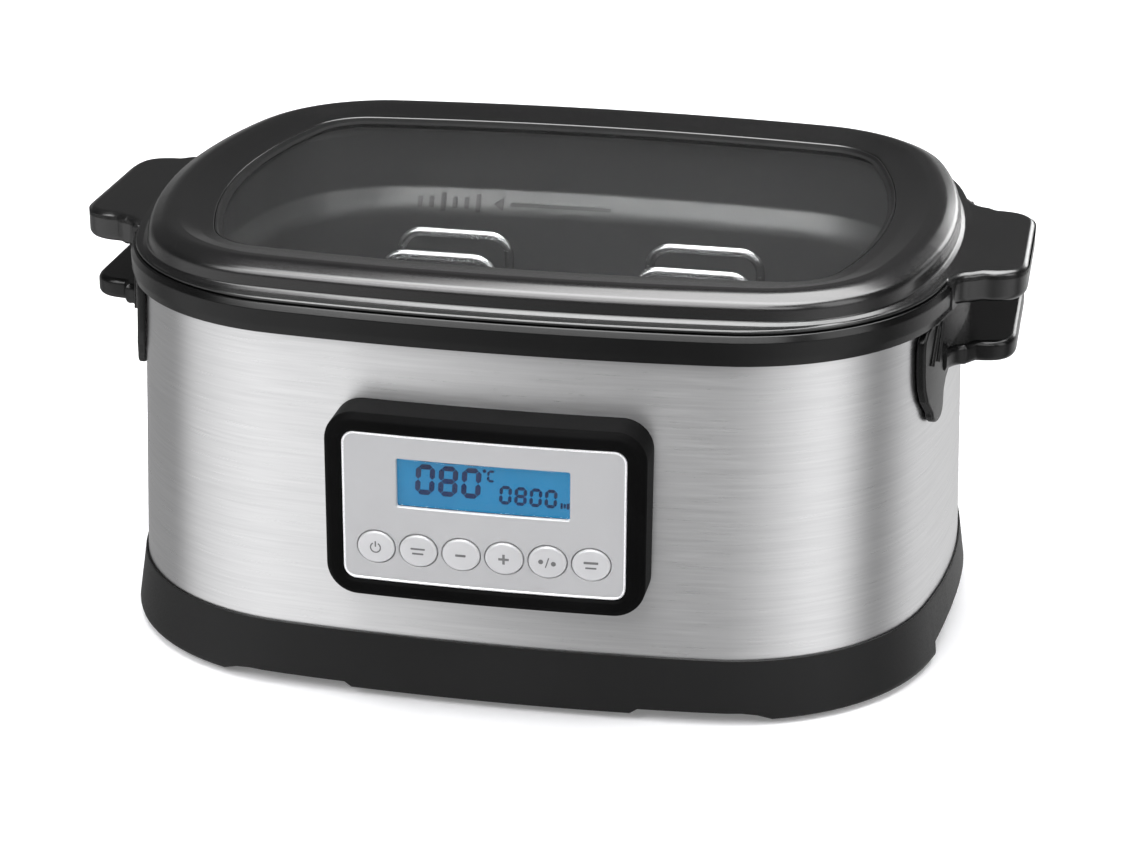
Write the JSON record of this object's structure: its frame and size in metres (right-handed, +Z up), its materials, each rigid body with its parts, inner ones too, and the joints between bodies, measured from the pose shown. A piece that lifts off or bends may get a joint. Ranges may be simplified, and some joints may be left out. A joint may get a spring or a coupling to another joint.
{
  "type": "sous vide water bath",
  "caption": "Countertop sous vide cooker: oval steel water bath with a front display panel, side grips, lift-off glass lid and a wire pouch rack.",
  "frame": {"origin": "centre of the whole object's footprint, on the surface it stands on", "axes": "+X along the long side, from the left grip to the right grip as seen from the front; +Y from the control panel to the back; +Z up"},
  "size_m": [0.399, 0.2974, 0.1762],
  "materials": {
    "brushed_steel": "fine horizontal brushing, satin",
    "black_plastic": "semi-gloss moulded black",
    "bezel_plastic": "semi-gloss moulded black",
    "skirt_plastic": "satin moulded black",
    "silicone": "matt silicone",
    "nonstick_coating": "dark grey non-stick coating, satin",
    "insulation_fibre": "pressed mineral fibre",
    "aluminium": "cast, satin",
    "heater_sheath": "drawn steel tube, heat tinted",
    "ceramic_white": "glazed ceramic, matt",
    "circuit_board": "green solder mask",
    "rubber": "matt",
    "zinc_steel": "zinc plated",
    "silver_fascia": "silver painted, satin",
    "silver_key": "silver painted, satin",
    "clear_lens": "clear polished window",
    "display_blue": "backlit blue display",
    "component_black": "moulded black",
    "lid_glass": "clear tempered glass",
    "polished_wire": "polished stainless wire"
  },
  "bodies": {
    "housing": {"base_screw_1": "zinc_steel", "base_screw_2": "zinc_steel", "base_screw_3": "zinc_steel", "base_screw_4": "zinc_steel", "base_tray": "skirt_plastic", "bottom_plate": "skirt_plastic", "control_board": "circuit_board", "cord_gland": "rubber", "display_lens": "clear_lens", "foot_pad_1": "rubber", "foot_pad_2": "rubber", "foot_pad_3": "rubber", "foot_pad_4": "rubber", "handle_left": "black_plastic", "handle_right": "black_plastic", "handle_screw_1": "zinc_steel", "handle_screw_2": "zinc_steel", "handle_screw_3": "zinc_steel", "handle_screw_4": "zinc_steel", "heater_element": "heater_sheath", "heating_plate": "aluminium", "inner_pot": "nonstick_coating", "insulation_wrap": "insulation_fibre", "lcd_module": "display_blue", "outer_shell": "brushed_steel", "panel_backbox": "component_black", "panel_bezel": "bezel_plastic", "panel_fascia": "silver_fascia", "pot_gasket": "silicone", "power_board": "circuit_board", "rim_collar": "black_plastic", "support_post_1": "zinc_steel", "support_post_2": "zinc_steel", "support_post_3": "zinc_steel", "support_post_4": "zinc_steel", "tact_switch_1": "component_black", "tact_switch_2": "component_black", "tact_switch_3": "component_black", "tact_switch_4": "component_black", "tact_switch_5": "component_black", "tact_switch_6": "component_black", "temperature_sensor": "aluminium", "thermal_fuse": "ceramic_white"},
    "lid": {"lid_frame": "black_plastic", "lid_glass": "lid_glass", "lid_retainer": "black_plastic", "lid_seal": "silicone", "lid_screw_1": "zinc_steel", "lid_screw_2": "zinc_steel", "lid_screw_3": "zinc_steel", "lid_screw_4": "zinc_steel"},
    "rack": {"rack_ring": "polished_wire", "rack_divider_left": "polished_wire", "rack_divider_right": "polished_wire"},
    "key_power": {"button_power": "silver_key"},
    "key_mode": {"button_mode": "silver_key"},
    "key_minus": {"button_minus": "silver_key"},
    "key_plus": {"button_plus": "silver_key"},
    "key_unit": {"button_unit": "silver_key"},
    "key_start": {"button_start": "silver_key"}
  },
  "joints": [
    {"name": "lid_lift", "type": "slide", "parent": "housing", "child": "lid", "axis": [0, 0, 1], "range_m": [0, 0.2]},
    {"name": "rack_lift", "type": "slide", "parent": "housing", "child": "rack", "axis": [0, 0, 1], "range_m": [0, 0.02]},
    {"name": "power_press", "type": "slide", "parent": "housing", "child": "key_power", "axis": [0, 1, 0], "range_m": [0, 0.0008], "stiffness_N_per_m": 2000, "springref_m": -0.0003},
    {"name": "mode_press", "type": "slide", "parent": "housing", "child": "key_mode", "axis": [0, 1, 0], "range_m": [0, 0.0008], "stiffness_N_per_m": 2000, "springref_m": -0.0003},
    {"name": "minus_press", "type": "slide", "parent": "housing", "child": "key_minus", "axis": [0, 1, 0], "range_m": [0, 0.0008], "stiffness_N_per_m": 2000, "springref_m": -0.0003},
    {"name": "plus_press", "type": "slide", "parent": "housing", "child": "key_plus", "axis": [0, 1, 0], "range_m": [0, 0.0008], "stiffness_N_per_m": 2000, "springref_m": -0.0003},
    {"name": "unit_press", "type": "slide", "parent": "housing", "child": "key_unit", "axis": [0, 1, 0], "range_m": [0, 0.0008], "stiffness_N_per_m": 2000, "springref_m": -0.0003},
    {"name": "start_press", "type": "slide", "parent": "housing", "child": "key_start", "axis": [0, 1, 0], "range_m": [0, 0.0008], "stiffness_N_per_m": 2000, "springref_m": -0.0003}
  ]
}
